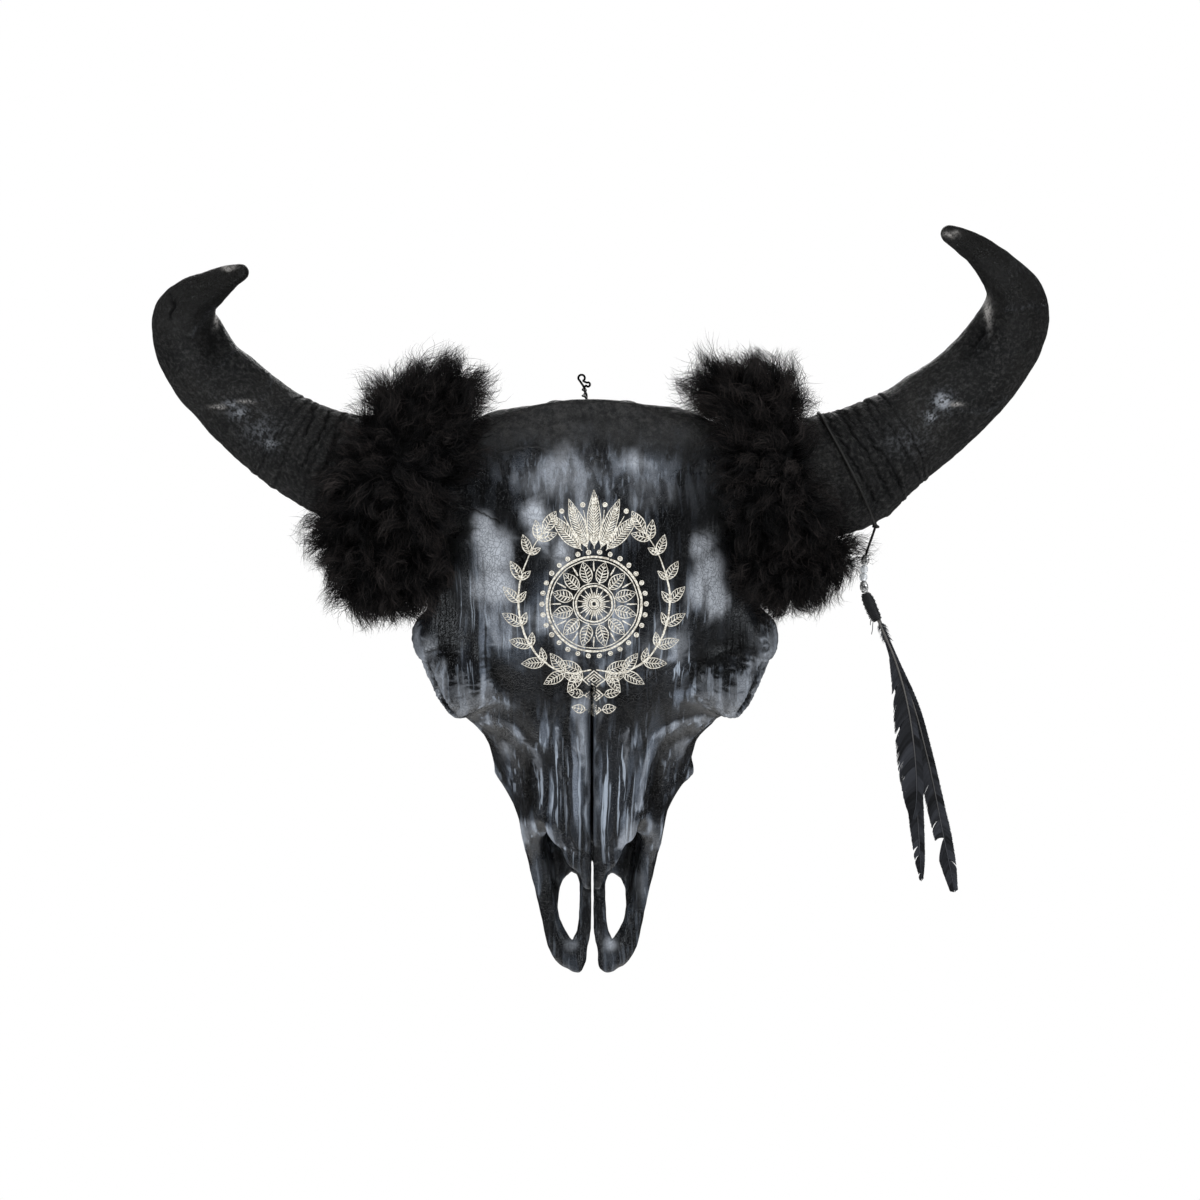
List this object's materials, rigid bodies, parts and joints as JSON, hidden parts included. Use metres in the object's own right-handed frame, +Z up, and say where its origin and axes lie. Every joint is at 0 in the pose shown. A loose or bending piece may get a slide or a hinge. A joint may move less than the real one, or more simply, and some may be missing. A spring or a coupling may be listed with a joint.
{
  "type": "engraved bison skull",
  "caption": "Black painted bison skull with both horns, an engraved design on the forehead, wool round the horn roots, a hanging thong with beads and feathers, and a wire hanger.",
  "frame": {"origin": "centre of the wire hanging eye, behind and above the crown", "axes": "+Z up as it hangs, -Y out of the wall the way the face looks, +X to the viewer's right"},
  "size_m": [0.6559, 0.2533, 0.5723],
  "materials": {
    "painted_bone": "satin black paint over bone, rubbed blue-grey",
    "horn": "black horn, satin",
    "wool": "frizzy black wool",
    "leather": "black thong",
    "bead_metal": "worn silver colour",
    "bead_glass": "clear",
    "thread": "bound black thread",
    "feather": "black vane, soft sheen",
    "wire": "blackened"
  },
  "bodies": {
    "root": {"skull": "painted_bone", "horn_left": "horn", "horn_right": "horn", "wool_left": "wool", "wool_right": "wool", "horn_tie": "leather", "thong": "leather", "bead_top": "bead_metal", "bead_bottom": "bead_metal", "bead_upper": "bead_glass", "bead_lower": "bead_glass", "quill_wrap": "thread", "feather_left": "feather", "feather_middle": "feather", "feather_right": "feather", "hanger_wire": "wire"}
  },
  "joints": []
}
